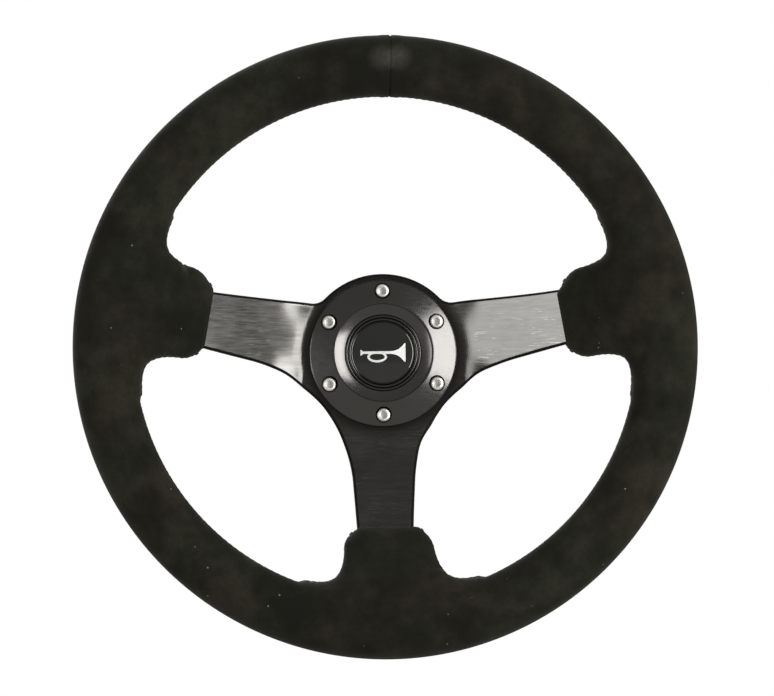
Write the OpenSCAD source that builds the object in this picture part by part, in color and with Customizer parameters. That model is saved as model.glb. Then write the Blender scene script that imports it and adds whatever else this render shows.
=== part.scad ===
// Three-spoke dished steering wheel on a ball-lock quick release.
// Lengths are in millimetres. +Z is the wheel's top, +Y points at the vehicle
// and -Y at the driver. The origin is the centre of the quick release's rear
// face, where it bolts to the column adapter.

/* [Wheel] */
// Outside diameter of the rim
wheel_d = 350; // [340:1:360]
// Dish, from the back of the hub plate to the front of the rim
dish = 76; // [70:1:80]
// Width of the grip, measured radially
grip_w = 34.8; // [32:0.1:36]
// Depth of the grip, measured along the column
grip_t = 32; // [30:0.5:34]
// Thickness of the suede cover
suede_t = 1.2; // [1:0.1:1.5]
// Diameter of the tube inside the rim
hoop_d = 12; // [10:0.5:13]

/* [Spokes] */
// Thickness of the spoke plate
plate_t = 4; // [3:0.5:5]
// Radius of the flat hub disc
hub_r = 45.2; // [44.5:0.1:46]
// Angle of the two upper spokes above the horizontal
spoke_rise = 10; // [6:1:12]
// Half width of a spoke where it enters its sleeve
spoke_half_w = 16.5; // [15:0.1:18]
// Distance from the wheel's centre to the end of a sleeve
sleeve_start = 99; // [97:0.5:102]
// Half width of a sleeve at its shoulder
sleeve_half_w = 24.5; // [23:0.5:26]
// Slope of the spokes towards the driver, in degrees
spoke_slope = 34; // [33:0.5:35]

/* [Hub trim] */
// Outside diameter of the trim ring
trim_d = 83.5; // [82:0.5:86]
// Height of the trim ring's crest above the hub plate
trim_h = 8.4; // [8:0.1:9]
// Radius of the crest
crest_r = 28.2; // [27.5:0.1:29]

/* [Bolts] */
// Pitch circle of the six-bolt wheel pattern
bolt_pcd = 70; // [69:0.5:71]
// Nominal bolt diameter
bolt_d = 5; // [5:M5, 6:M6]
// Diameter of the socket heads
bolt_head_d = 8; // [7.8:0.1:8.5]

/* [Horn button] */
// Radius of the button's bezel
bezel_r = 21.5; // [21:0.1:21.5]
// Radius of the cap
cap_r = 17.1; // [17:0.1:17.3]
// Travel of the cap
horn_travel = 2.2; // [1.5:0.1:2.2]

/* [Quick release] */
// Height from the adapter face to the hub plate
release_h = 52; // [50:1:56]
// Radius of the two flanges
flange_r = 42; // [41:0.5:42]
// Travel of the release collar
collar_travel = 8; // [6:0.5:8]
// Radius of a locking ball
ball_r = 4; // [3.5:0.5:4]

/* [Hidden] */
$fn = 96;
BALLS = 6;
BOLTS = 6;
SPOKES = [spoke_rise, 180 - spoke_rise, 270];
fit = 0.05;       // clearance between pieces that are assembled and don't move
eps = 0.02;       // a cut runs this far past the face it opens

// Rim and grip
grip_r = wheel_d / 2 - grip_w / 2;
rim_z = release_h + dish - grip_t / 2;
rim_inner = wheel_d / 2 - grip_w;
hoop_r = hoop_d / 2;
hoop_wall = 1.5;
seat_depth = 0.6;

// Spoke plate: a flat hub, one bend up, a straight slope, one bend back, a tab on the hoop
plate_z = release_h + plate_t / 2;
plate_front = release_h + plate_t;
tab_z = rim_z - hoop_r + seat_depth - plate_t / 2 - fit;
bend_r = 14;
bend_u = 44;
bend_run = bend_r * sin(spoke_slope);
bend_rise = bend_r * (1 - cos(spoke_slope));
slope_run = (tab_z - plate_z - 2 * bend_rise) / tan(spoke_slope);
tab_u = bend_u + 2 * bend_run + slope_run;
tip_u = grip_r + hoop_r;
sleeve_z = plate_z + bend_rise + (sleeve_start - bend_u - bend_run) * tan(spoke_slope);
web_r = 80;        // radius of the sweeps between the lower spokes
web_taper = 3.15;  // degrees that a spoke's lower edges draw in
top_taper = 4.95;  // degrees that an upper spoke's upper edge draws in
top_fillet_r = 10;
rivet_v = 7.5;     // distance of each rivet from its spoke's middle line

// Sleeves
sleeve_corner_r = 12;
sleeve_fillet_r = 16;
sleeve_rise = 1.5; // growth of a sleeve's half width from its shoulder to the fillet
sleeve_end_t = 7.5;
sleeve_root_t = 10;
sleeve_far_u = 150;

// Trim ring
trim_r = trim_d / 2;
trim_edge_h = 3.6;
trim_bore_r = bezel_r + 0.3;
trim_funnel_z = plate_front + 5.4;
counterbore_r = 4.55;
counterbore_z = plate_front + 2;
bolt_head_h = 4.3;
bolt_len = 12;
bolt_hole_r = bolt_d / 2 + 0.25;

// Horn button
bezel_z = plate_front + 6.2;
body_r = bezel_r - 0.4;
cap_edge_z = bezel_z;
cap_dome_h = 1.4;
cap_flange_r = 18.8;
cap_flange_z = plate_front + 2;
cap_wall = 1.8;
lip_z = cap_flange_z + 2.2;
horn_base_z = release_h - 4;
horn_base_t = 2.5;
stem_r = 4;
stem_z = horn_base_z + 7.5;
strip_t = 0.8;
fixed_contact_z = stem_z - strip_t - horn_travel - 0.1;
blade_x = 8;
blade_w = 6.3;
blade_end_z = horn_base_z - 5;

// Quick release
hub_flange_t = 8;
hub_flange_z = release_h - hub_flange_t;
boss_flange_t = 6;
boss_r = 19.9;
boss_top = release_h - 18;
boss_bore_r = 12;
sleeve_bore_r = 20.05;
sleeve_z0 = 8;
counterbore_hub_r = body_r + 0.15;
counterbore_hub_z = release_h - 16;
sleeve_r = 26;
ball_z = 22;
ball_lock_r = sleeve_r - ball_r;
ball_ratio = 0.25;
ball_hole_r = ball_r + 0.05;
cone_r = ball_lock_r + ball_r + 0.17;
collar_bore_r = sleeve_r + 0.05;
collar_z0 = 12;
collar_z1 = 35.5;
collar_r = 35.5;
collar_lip_r = 38;
pocket_r = 30.6;
pocket_z = 30;
collar_flutes = 24;
spring_wire_r = 0.8;
collar_spring_r = 28.3;
splines = 12;
spline_w = 4;
spline_r = 22;
spline_z = 14;

// Horn contact through the quick release
carrier_t = 4;
pin_x = 5.5;
pin_r = 1.2;
pin_head_r = 2.4;
ring_z = boss_top - 1;
ring_t = 1.2;
seat_t = 5;

// Leads from the horn terminals; each list is the route of one insulated wire, measured
// from the ends of the blades
lead_r = 0.8;
HORN_ROUTE = [[8, 0, 0.2], [9, 3, -0.8], [7, 6, -1], [3, 7, -0.6], [0, 5.5, -1.8]];
GROUND_ROUTE = [[-8, 0, 0.2], [-9, -3, -1], [-12, -5, -1.4], [-17, -4, -1.2], [-21.6, -2, -0.6]];

// Turns the wheel from lying face up, with its top along +Y, to standing
module upright() {
  rotate([90, 0, 0]) children();
}

module ring_of(count, radius, first = 0) {
  for (i = [0:count - 1])
    rotate(first + i * 360 / count) translate([radius, 0, 0]) children();
}

module tube(r_out, r_in, z0, z1) {
  difference() {
    translate([0, 0, z0]) cylinder(h = z1 - z0, r = r_out);
    translate([0, 0, z0 - eps]) cylinder(h = z1 - z0 + 2 * eps, r = r_in);
  }
}

module disc(r, z0, z1) {
  translate([0, 0, z0]) cylinder(h = z1 - z0, r = r);
}

function polar(r, a) = [r * cos(a), r * sin(a)];
function arc(c, r, a0, a1, n) = [for (i = [0:n]) c + polar(r, a0 + (a1 - a0) * i / n)];
function reversed(p) = [for (i = [len(p) - 1:-1:0]) p[i]];
function flipped(p) = [for (q = p) [q[0], -q[1]]];
function turned(p, a) =
  [for (q = p) [q[0] * cos(a) - q[1] * sin(a), q[0] * sin(a) + q[1] * cos(a)]];

// ---- Spoke plate ----

// One edge of a spoke from its tip to the hub disc: a straight edge that draws in by
// taper degrees, then a fillet of radius r that meets the disc, cut off at polar angle last
function edge_offset(taper) = sleeve_start * sin(taper) + spoke_half_w * cos(taper);
function fillet_centre(taper, r) =
  let (n = edge_offset(taper) + r, t = sqrt(pow(hub_r + r, 2) - n * n))
  [t * cos(taper) + n * sin(taper), n * cos(taper) - t * sin(taper)];
function edge_half_w(taper, u) = (edge_offset(taper) - u * sin(taper)) / cos(taper);
function spoke_edge(taper, r, last, n) =
  let (c = fillet_centre(taper, r), a0 = 270 - taper, a1 = 180 + atan2(c[1], c[0]))
  concat(
    [[tip_u, edge_half_w(taper, tip_u)]],
    [for (p = arc(c, r, a0, a1, n)) if (atan2(p[1], p[0]) < last) p]
  );

web_edge = spoke_edge(web_taper, web_r, 49.6, 24);
top_edge = spoke_edge(top_taper, top_fillet_r, 80, 6);
top_c = fillet_centre(top_taper, top_fillet_r);
top_a = spoke_rise + atan2(top_c[1], top_c[0]);

frame_outline = concat(
  turned(reversed(flipped(web_edge)), spoke_rise),
  turned(top_edge, spoke_rise),
  arc([0, 0], hub_r, top_a + 2, 178 - top_a, 48),
  turned(reversed(flipped(top_edge)), 180 - spoke_rise),
  turned(web_edge, 180 - spoke_rise),
  turned(reversed(flipped(web_edge)), 270),
  turned(web_edge, 270)
);

// The plate's bent middle line, moved h towards the driver
function plate_line(h) = concat(
  [[-hub_r, plate_z + h]],
  arc([bend_u, plate_z + bend_r], bend_r - h, -90, spoke_slope - 90, 6),
  arc([tab_u, tab_z - bend_r], bend_r + h, 90 + spoke_slope, 90, 6),
  [[wheel_d / 2, tab_z + h]]
);

// A strip of the bent plate along +X, grown by g on both faces
module bent_strip(half_w, g = 0) {
  half_t = plate_t / 2 + g;
  rotate([90, 0, 0])
    linear_extrude(height = 2 * half_w, center = true)
      polygon(concat(plate_line(half_t), reversed(plate_line(-half_t))));
}

module wedge(a0, a1) {
  far = wheel_d;
  linear_extrude(height = far)
    polygon([[0, 0], polar(far, a0), polar(far, (a0 + a1) / 2), polar(far, a1)]);
}

module spoke_part(i) {
  reach = i == 2 ? [220, 320] : i == 0 ? [-40, 90] : [90, 220];
  intersection() {
    rotate(SPOKES[i]) bent_strip(wheel_d / 2);
    wedge(reach[0], reach[1]);
  }
}

module spoke_frame() {
  color("#5f5c57") upright() difference() {
    intersection() {
      linear_extrude(height = rim_z) polygon(frame_outline);
      union() for (i = [0:2]) spoke_part(i);
    }
    disc(body_r + 0.3, release_h - 1, plate_front + 1);
    ring_of(BOLTS, bolt_pcd / 2, 30) disc(bolt_hole_r, release_h - 1, plate_front + 1);
    for (a = SPOKES) rotate(a) rivet_places() disc(2 + fit, tab_z - 5, tab_z + 5);
  }
}

module rivet_places() {
  for (side = [-1, 1]) translate([grip_r, side * rivet_v, 0]) children();
}

module spoke_rivets() {
  color("silver") upright() for (a = SPOKES) rotate(a) rivet_places() union() {
    disc(3.6, tab_z - plate_t / 2 - 1.5, tab_z - plate_t / 2);
    disc(2, tab_z - plate_t / 2 - eps, tab_z + plate_t / 2 + 2.6);
  }
}

// ---- Rim ----

module hoop_solid(r) {
  rotate_extrude() translate([grip_r, rim_z]) circle(r);
}

module rim_hoop() {
  color("dimgray") upright() difference() {
    hoop_solid(hoop_r);
    hoop_solid(hoop_r - hoop_wall);
    for (a = SPOKES) rotate(a) {
      translate([grip_r - 15, -18, rim_z - 2 * hoop_r])
        cube([30, 36, hoop_r + seat_depth]);
      rivet_places() disc(2 + fit, rim_z - 2 * hoop_r, rim_z);
    }
  }
}

// The grip's oval section, grown by g
function grip_section(g) = [for (i = [0:27])
  [grip_r + (grip_w / 2 + g) * cos((i + 0.5) * 360 / 28), rim_z + (grip_t / 2 + g) * sin((i + 0.5) * 360 / 28)]];

// Half of a sleeve's outline, grown by g: a round corner, a shoulder, and a hollow
// fillet into the rim
sleeve_c = let (v = sleeve_half_w + sleeve_rise + sleeve_fillet_r, r = rim_inner - sleeve_fillet_r + 0.6)
  [sqrt(r * r - v * v), v];
function sleeve_half(g) =
  let (corner = [sleeve_start + sleeve_corner_r, sleeve_half_w - sleeve_corner_r],
       a1 = 380 + atan2(sleeve_c[1], sleeve_c[0]))
  concat(
    arc(corner, sleeve_corner_r + g, 180, 90, 6),
    arc(sleeve_c, sleeve_fillet_r - g, 265, a1, 10),
    [[sleeve_far_u, sleeve_c[1] + 12]]
  );
// A sleeve's side: it follows the spoke's slope and thickens into the grip
function sleeve_side(g) = [
  [sleeve_start - g, sleeve_z - sleeve_end_t - g],
  [tab_u, tab_z - plate_t / 2 - 4.6 - g],
  [sleeve_far_u, rim_z - 12 - g],
  [sleeve_far_u, rim_z + 12 + g],
  [rim_inner - 7, rim_z + sleeve_root_t + g],
  [sleeve_start - g, sleeve_z + sleeve_end_t + g]
];

module sleeve(g) {
  intersection() {
    linear_extrude(height = 2 * rim_z)
      polygon(concat(sleeve_half(g), reversed(flipped(sleeve_half(g)))));
    rotate([90, 0, 0])
      linear_extrude(height = wheel_d, center = true) polygon(sleeve_side(g));
  }
}

module grip_body(g) {
  rotate_extrude() polygon(grip_section(g));
  for (a = SPOKES) rotate(a) sleeve(g);
}

// The space that a spoke and its rivets take up inside the padding
module spoke_slot(end) {
  start = sleeve_start - 9;
  half = edge_half_w(web_taper, start) + fit;
  far_half = edge_half_w(web_taper, end) + fit;
  intersection() {
    linear_extrude(height = 2 * rim_z)
      polygon([[start, -half], [end, -far_half], [end, far_half], [start, half]]);
    bent_strip(wheel_d / 2, fit);
  }
}

module rim_foam() {
  color("#3a3933") upright() difference() {
    grip_body(-suede_t - fit);
    hoop_solid(hoop_r + fit);
    for (a = SPOKES) rotate(a) {
      spoke_slot(tip_u + fit);
      rivet_places() disc(3.6 + fit, tab_z - plate_t / 2 - 1.6, tab_z);
    }
  }
}

module suede_cover() {
  color("#26241c") upright() difference() {
    grip_body(0);
    grip_body(-suede_t);
    for (a = SPOKES) rotate(a) spoke_slot(sleeve_start + 5);
  }
}

// Lacing that closes the cover along the inside of the rim, between the sleeves
module lacing_thread() {
  thread_r = 0.5;
  gap = 25;
  spans = [[SPOKES[0] + gap, SPOKES[1] - gap], [SPOKES[1] + gap, 270 - gap],
           [270 + gap, 360 + SPOKES[0] - gap]];
  color("black") upright() for (s = spans) rotate(s[0])
    rotate_extrude(angle = s[1] - s[0]) translate([rim_inner, rim_z]) circle(thread_r, $fn = 16);
}

// ---- Hub trim ----

module trim_ring() {
  color("#2d2d2d") upright() difference() {
    rotate_extrude() polygon([
      [trim_bore_r, plate_front], [trim_r, plate_front],
      [trim_r, plate_front + trim_edge_h - 0.6], [trim_r - 0.5, plate_front + trim_edge_h],
      [crest_r + 0.5, plate_front + trim_h], [crest_r - 0.4, plate_front + trim_h],
      [(crest_r + trim_bore_r) / 2, (plate_front + trim_h + trim_funnel_z) / 2 - 0.2],
      [trim_bore_r, trim_funnel_z]
    ]);
    ring_of(BOLTS, bolt_pcd / 2, 30) disc(bolt_hole_r, plate_front - 1, plate_front + trim_h);
    ring_of(BOLTS, bolt_pcd / 2, 30) disc(counterbore_r, counterbore_z, plate_front + 2 * trim_h);
  }
}

module wheel_bolts() {
  head_r = bolt_head_d / 2;
  top = counterbore_z + bolt_head_h;
  color("silver") upright() ring_of(BOLTS, bolt_pcd / 2, 30) difference() {
    rotate_extrude() polygon([
      [0, counterbore_z - bolt_len], [bolt_d / 2 - 0.5, counterbore_z - bolt_len],
      [bolt_d / 2 - fit, counterbore_z - bolt_len + 0.5], [bolt_d / 2 - fit, counterbore_z],
      [head_r, counterbore_z], [head_r, top - 1.2], [head_r - 0.4, top - 0.5], [head_r - 1.2, top],
      [0, top]
    ]);
    translate([0, 0, top - 2.5]) cylinder(h = 3, r = 2 / cos(30), $fn = 6);
  }
}

// ---- Horn button ----

module horn_housing() {
  color("#303030") upright() rotate_extrude() polygon([
    [body_r - 1.9, horn_base_z], [body_r, horn_base_z], [body_r, plate_front + 0.8],
    [bezel_r, plate_front + 0.8], [bezel_r, bezel_z - 0.5], [bezel_r - 0.5, bezel_z],
    [20.4, bezel_z], [20.2, bezel_z - 0.4], [19.8, bezel_z - 0.4], [19.6, bezel_z],
    [18.9, bezel_z], [18.7, bezel_z - 0.4], [18.3, bezel_z - 0.4], [18.1, bezel_z],
    [cap_r + 0.25, bezel_z - 0.2], [cap_r + 0.25, lip_z], [body_r - 1.9, lip_z]
  ]);
}

// Height of the cap's dome at radius r
function dome_z(r) =
  let (s = (cap_r * cap_r + cap_dome_h * cap_dome_h) / (2 * cap_dome_h))
  cap_edge_z + cap_dome_h - s + sqrt(s * s - r * r);

module horn_cap() {
  rise = [for (i = [0:8]) let (r = cap_r * (8 - i) / 8) [r, dome_z(r)]];
  color("#101010") upright() rotate_extrude() polygon(concat(
    [[0, stem_z], [stem_r, stem_z], [stem_r, cap_edge_z - cap_wall], [cap_r - cap_wall, cap_edge_z - cap_wall],
     [cap_r - cap_wall, cap_flange_z], [cap_flange_r, cap_flange_z], [cap_flange_r, lip_z - 0.2],
     [cap_r, lip_z - 0.2]],
    rise
  ));
}

module horn_moving_contact() {
  color("goldenrod") upright() disc(11, stem_z - strip_t, stem_z - fit);
}

module horn_base() {
  color("#202020") upright() difference() {
    disc(body_r - 1.9 - fit, horn_base_z, horn_base_z + horn_base_t);
    for (side = [-1, 1]) blade_box(side, fit, horn_base_z - 1, horn_base_z + horn_base_t + 1);
  }
}

module blade_box(side, g, z0, z1) {
  translate([side * blade_x - strip_t / 2 - g, -blade_w / 2 - g, z0])
    cube([strip_t + 2 * g, blade_w + 2 * g, z1 - z0]);
}

// Two brass blades through the base, each bent over into a fixed contact
module horn_terminals() {
  top = horn_base_z + horn_base_t;
  color("goldenrod") upright() for (side = [-1, 1]) union() {
    blade_box(side, 0, blade_end_z, fixed_contact_z);
    translate([side < 0 ? -blade_x : blade_x - 3, -blade_w / 2, fixed_contact_z - strip_t])
      cube([3, blade_w, strip_t]);
  }
}

// A wire coil about the wheel's axis from z0 to z1, with its end rings at z0 and z1
module coil(r, wire_r, z0, z1, turns, steps, sides) {
  n = turns * steps;
  points = [for (i = [0:n], j = [0:sides - 1])
    let (a = 360 * i / steps, q = 360 * j / sides, c = r + wire_r * cos(q))
    [c * cos(a), c * sin(a), z0 + wire_r + (z1 - z0 - 2 * wire_r) * i / n + wire_r * sin(q)]];
  swept(points, n, sides);
}

// Closes a tube whose rings of sides points follow one another in points
module swept(points, n, sides) {
  walls = [for (i = [0:n - 1], j = [0:sides - 1])
    let (a = i * sides + j, b = i * sides + (j + 1) % sides)
    each [[a, a + sides, b], [b, a + sides, b + sides]]];
  polyhedron(points, concat(
    walls,
    [[for (j = [0:sides - 1]) j]],
    [[for (j = [sides - 1:-1:0]) n * sides + j]]
  ));
}

// An insulated wire along route, rounded between the route's points
module wire(route, r) {
  last = len(route) - 1;
  steps = 3;
  sides = 8;
  path = [for (i = [0:last * steps]) let (k = min(floor(i / steps), last - 1), t = i / steps - k)
    spline_point(route[max(k - 1, 0)], route[k], route[k + 1], route[min(k + 2, last)], t)];
  n = len(path) - 1;
  points = [for (i = [0:n]) let (d = path[min(i + 1, n)] - path[max(i - 1, 0)],
                                 e1 = cross(d, [0.1, 0.2, 1]) / norm(cross(d, [0.1, 0.2, 1])),
                                 e2 = cross(d, e1) / norm(d))
    for (j = [0:sides - 1]) path[i] + r * (cos(360 * j / sides) * e1 + sin(360 * j / sides) * e2)];
  swept(points, n, sides);
}

function spline_point(a, b, c, d, t) =
  b + 0.5 * t * (c - a + t * (2 * a - 5 * b + 4 * c - d + t * (3 * (b - c) + d - a)));

module horn_spring() {
  color("silver") upright() coil(14.4, 0.45, horn_base_z + horn_base_t, cap_edge_z - cap_wall, 4, 20, 8);
}

module horn_lead() {
  color("firebrick") upright() translate([0, 0, blade_end_z]) wire(HORN_ROUTE, lead_r);
}

module ground_lead() {
  color("black") upright() translate([0, 0, blade_end_z]) wire(GROUND_ROUTE, lead_r);
}

// ---- Horn contact through the quick release ----

module contact_carrier() {
  color("ivory") upright() difference() {
    disc(counterbore_hub_r - fit, counterbore_hub_z, counterbore_hub_z + carrier_t);
    translate([0, pin_x, 0]) disc(pin_r + fit, counterbore_hub_z - 1, counterbore_hub_z + carrier_t + 1);
    translate([0, pin_x, 0]) disc(pin_head_r + 0.2, counterbore_hub_z - 1, counterbore_hub_z + carrier_t - 1);
  }
}

// A sprung pin that presses on the contact ring
module contact_pin() {
  tip = ring_z + ring_t;
  color("goldenrod") upright() translate([0, pin_x, 0]) union() {
    disc(pin_head_r, tip, tip + 1);
    disc(pin_r, tip + 1 - eps, counterbore_hub_z + carrier_t + 1.4);
  }
}

module contact_pin_spring() {
  color("silver") upright() translate([0, pin_x, 0])
    coil(1.85, 0.3, ring_z + ring_t + 1, counterbore_hub_z + carrier_t - 1, 4, 12, 6);
}

module contact_seat() {
  color("ivory") upright() difference() {
    disc(boss_bore_r - fit, ring_z - seat_t, ring_z);
    translate([0, pin_x, 0]) disc(1 + fit, ring_z - seat_t - 1, ring_z + 1);
  }
}

module contact_ring() {
  color("goldenrod") upright() union() {
    tube(8.5, 2.5, ring_z, ring_z + ring_t);
    translate([0, pin_x, 0]) disc(1, ring_z - seat_t - 4, ring_z + eps);
  }
}

// ---- Quick release ----

module splined_boss() {
  color("#2b2b2c") upright() difference() {
    union() {
      disc(flange_r, 0, boss_flange_t);
      disc(boss_r, boss_flange_t - eps, boss_top);
      ring_of(splines, 0) translate([0, -spline_w / 2, boss_flange_t - eps])
        cube([spline_r, spline_w, spline_z - boss_flange_t]);
    }
    disc(boss_bore_r, -1, boss_top + 1);
    rotate_extrude() translate([ball_lock_r, ball_z]) circle(ball_hole_r);
    tube(boss_r + 1, boss_r - 1.2, 29.5, 31.5);
    ring_of(BOLTS, bolt_pcd / 2, 30) {
      disc(bolt_hole_r, -1, boss_flange_t + 1);
      translate([0, 0, boss_flange_t - 2.6]) cylinder(h = 2.7, r1 = bolt_hole_r, r2 = bolt_hole_r + 2.7);
    }
  }
}

module boss_o_ring() {
  color("black") upright() rotate_extrude() translate([boss_r - 0.55, 30.5]) circle(0.62, $fn = 24);
}

module release_hub() {
  color("#2b2b2c") upright() difference() {
    union() {
      disc(sleeve_r, sleeve_z0, hub_flange_z + eps);
      disc(flange_r, hub_flange_z, release_h);
    }
    disc(sleeve_bore_r, sleeve_z0 - 1, release_h + 1);
    disc(counterbore_hub_r, counterbore_hub_z, release_h + 1);
    ring_of(splines, 0) translate([0, -spline_w / 2 - 0.1, sleeve_z0 - 1])
      cube([spline_r + 0.15, spline_w + 0.2, spline_z - sleeve_z0 + 1.5]);
    ring_of(BALLS, 0) {
      translate([ball_lock_r, 0, ball_z]) sphere(ball_hole_r);
      translate([ball_lock_r, 0, ball_z]) rotate([0, 90, 0]) cylinder(h = sleeve_r, r = ball_hole_r);
    }
    tube(sleeve_r + 1, sleeve_r - 1.05, 9.05, 10.35);
    ring_of(BOLTS, bolt_pcd / 2, 30) disc(bolt_d / 2, hub_flange_z - 1, release_h + 1);
  }
}

// A sliding collar: a plain land that guides it, a cone that lets the balls move out
// as it slides, and a pocket for its spring
module release_collar() {
  color("#a9abad") upright() difference() {
    rotate_extrude() polygon([
      [cone_r + ball_ratio * (ball_z - collar_z0), collar_z0], [collar_lip_r - 1, collar_z0],
      [collar_lip_r, collar_z0 + 1], [collar_lip_r, collar_z0 + 3], [collar_r, collar_z0 + 4.5],
      [collar_r, collar_z1 - 1], [collar_r - 1, collar_z1], [pocket_r, collar_z1],
      [pocket_r, pocket_z], [collar_bore_r, pocket_z],
      [collar_bore_r, ball_z + (cone_r - collar_bore_r) / ball_ratio]
    ]);
    ring_of(collar_flutes, collar_r + 1) disc(1.8, collar_z0 + 4.5, collar_z1 + 1);
  }
}

module collar_spring() {
  color("silver") upright() coil(collar_spring_r, spring_wire_r, pocket_z, hub_flange_z, 3, 32, 8);
}

module stop_washer() {
  color("silver") upright() tube(32, sleeve_r + 0.1, 10.4, 11.9);
}

module snap_ring() {
  color("dimgray") upright() difference() {
    tube(28.5, sleeve_r - 1, 9.1, 10.3);
    translate([0, -2.5, 9]) cube([30, 5, 1.5]);
  }
}

module locking_ball(i) {
  color("silver") upright() rotate((i - 1) * 360 / BALLS) translate([ball_lock_r, 0, ball_z]) sphere(ball_r);
}

suede_cover();
rim_foam();
rim_hoop();
lacing_thread();
spoke_frame();
spoke_rivets();
trim_ring();
wheel_bolts();
horn_housing();
horn_cap();
horn_moving_contact();
horn_spring();
horn_base();
horn_terminals();
horn_lead();
ground_lead();
contact_carrier();
contact_pin();
contact_pin_spring();
contact_seat();
contact_ring();
release_hub();
release_collar();
collar_spring();
stop_washer();
snap_ring();
boss_o_ring();
splined_boss();
locking_ball(1);  // locking_ball_1
locking_ball(2);  // locking_ball_2
locking_ball(3);  // locking_ball_3
locking_ball(4);  // locking_ball_4
locking_ball(5);  // locking_ball_5
locking_ball(6);  // locking_ball_6
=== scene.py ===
"""Looks of a three-spoke dished steering wheel on a quick release.

Shapes are written in the wheel's own frame, in millimetres: x to the right, y to the
wheel's top, and s towards the driver from the adapter face. row() turns them into the
row's frame, in metres.
"""
import math
import random
from contextlib import contextmanager

import bmesh
import bpy
import numpy as np
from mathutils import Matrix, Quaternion, Vector
from mathutils.kdtree import KDTree


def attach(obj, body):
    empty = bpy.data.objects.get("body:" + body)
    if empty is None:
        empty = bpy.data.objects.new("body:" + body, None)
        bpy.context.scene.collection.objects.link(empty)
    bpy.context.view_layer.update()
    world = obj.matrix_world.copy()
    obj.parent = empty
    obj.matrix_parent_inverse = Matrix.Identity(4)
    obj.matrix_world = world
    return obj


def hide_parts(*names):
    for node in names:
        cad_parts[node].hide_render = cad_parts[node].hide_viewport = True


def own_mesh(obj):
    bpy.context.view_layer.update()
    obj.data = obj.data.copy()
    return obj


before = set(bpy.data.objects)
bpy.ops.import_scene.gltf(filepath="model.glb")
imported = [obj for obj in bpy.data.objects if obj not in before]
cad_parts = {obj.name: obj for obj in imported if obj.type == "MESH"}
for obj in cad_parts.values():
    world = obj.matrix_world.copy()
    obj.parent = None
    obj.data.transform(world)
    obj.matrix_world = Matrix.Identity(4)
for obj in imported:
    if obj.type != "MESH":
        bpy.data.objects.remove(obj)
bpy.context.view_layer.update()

MM = 0.001
random.seed(7)
rng = np.random.default_rng(7)
scene = bpy.context.scene

# Rim
GRIP_R = 157.6         # radius of the middle of the grip
GRIP_A = 17.4          # half width of the grip, measured radially
GRIP_B = 16.0          # half depth of the grip, measured along the column
RIM_Z = 112.0          # height of the rim's middle plane
RIM_INNER = GRIP_R - GRIP_A
SUEDE_T = 1.2          # thickness of the suede

# Spokes and sleeves
SPOKE_SLOPE = 34.0
SLEEVE_START = 99.0
PLATE_HALF_W = 16.5    # half width of a spoke where it enters its sleeve
PLATE_HALF_T = 2.0     # half thickness of the plate
PLATE_AT_SLEEVE = 86.9  # height of the plate's middle where it enters a sleeve
EDGE_R = 5.5           # roundness of a sleeve's edges
CORNER_R = 1.5         # roundness of its outline's cut corners
SIDE_R = 3.0           # roundness of the rest of its outline
SLEEVE_BLEND = 10.0    # softness of its join with the rim
WEB_LENGTH = 22.0      # how far the blend into the rim reaches beside a sleeve
WEB_OUTER = 152.0      # radius where sleeve and blend end inside the grip
# The front and back of a sleeve: height at its end, slope, and the cosine of that slope
FRONT_S, FRONT_SLOPE, FRONT_COS = 94.4, 0.807, 0.778
BACK_S, BACK_SLOPE, BACK_COS = 79.4, 0.6486, 0.839
FRONT_TOP = 122.5      # height where the front comes level
BACK_TOP_U, BACK_TOP_S, BACK_TOP_SLOPE = 127.6, 97.95, 0.09  # the back's line near the rim
# For each sleeve: the spoke's angle, the blend into the rim, where the sleeve ends, and for
# its two sides the half width, its growth per millimetre, where the 45 degree corner cuts
# the middle line, and how far the blend is set back into the rim
SLEEVES = [
    (10.0, 24.0, 100.2, (24.3, 0.03, 86.6, 3.0), (24.8, 0.05, 83.2, 3.0)),
    (170.0, 27.0, 99.0, (23.7, 0.04, 83.6, 0.5), (26.0, 0.08, 82.0, 1.2)),
    (270.0, 28.0, 99.0, (25.4, 0.10, 81.2, 0.0), (24.8, -0.05, 83.4, -0.3)),
]

# Sewing
STITCH = 3.85          # pitch of the lacing
STITCH_REACH = 2.5     # how far from the seam a stitch enters the suede
TOP_SEAM_ANGLE = 88.55
# For each opening between two spokes: their angles, and how far from the wheel's centre the
# point lies from which its edge is looked for
OPENINGS = [(10, 170, 84), (170, 270, 60), (270, 370, 60)]
TOP_SEAM_HIGHLIGHTS = [(-0.4, 161.0), (8.6, 161.5)]  # centres of the painted highlight patches beside the top seam

# Hub
HUB_DISC_R = 45.4      # radius of the plate's round middle
PLATE_MID = 54.0       # height of the middle of the plate at the hub
SLOPE = math.tan(math.radians(SPOKE_SLOPE))
CAD_BEND_U, CAD_BEND_R = 44, 14  # where the CAD plate's bend starts, and its radius
# A spoke's height beyond the disc: its slope starts at 1 - CREASE_LOSS of the full one
CREASE_LOSS = 0.80
CREASE_LENGTH = 3.6    # over which the rest of the slope comes back
# For each side of each spoke, how far its edge is drawn out near the hub, over what
# length, and how far at the sleeve
EDGE_TRIM = [
    ((0.3, 12, -1.1), (-2.0, 12, -0.5)),
    ((-1.4, 25, 0.0), (0.2, 12, -0.4)),
    ((-2.2, 12, -1.0), (0.3, 25, 0.0)),
]
BOLT_CIRCLE_R = 35
COUNTERBORE_R = 4.55
BEZEL_S = 61.6         # height of the bezel's beads
CAP_EDGE_R, CAP_EDGE_S, CAP_RISE = 17.1, 62.2, 1.4  # the horn cap's dome
SIGN_SCALE = 1.42

# Stage
FLOOR_DROP = 520       # how far the floor lies below the wheel's centre
FLOOR_HALF = 12000
LIGHT_DISTANCE = 2.0   # metres


# ---- Frames and meshes ----

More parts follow.
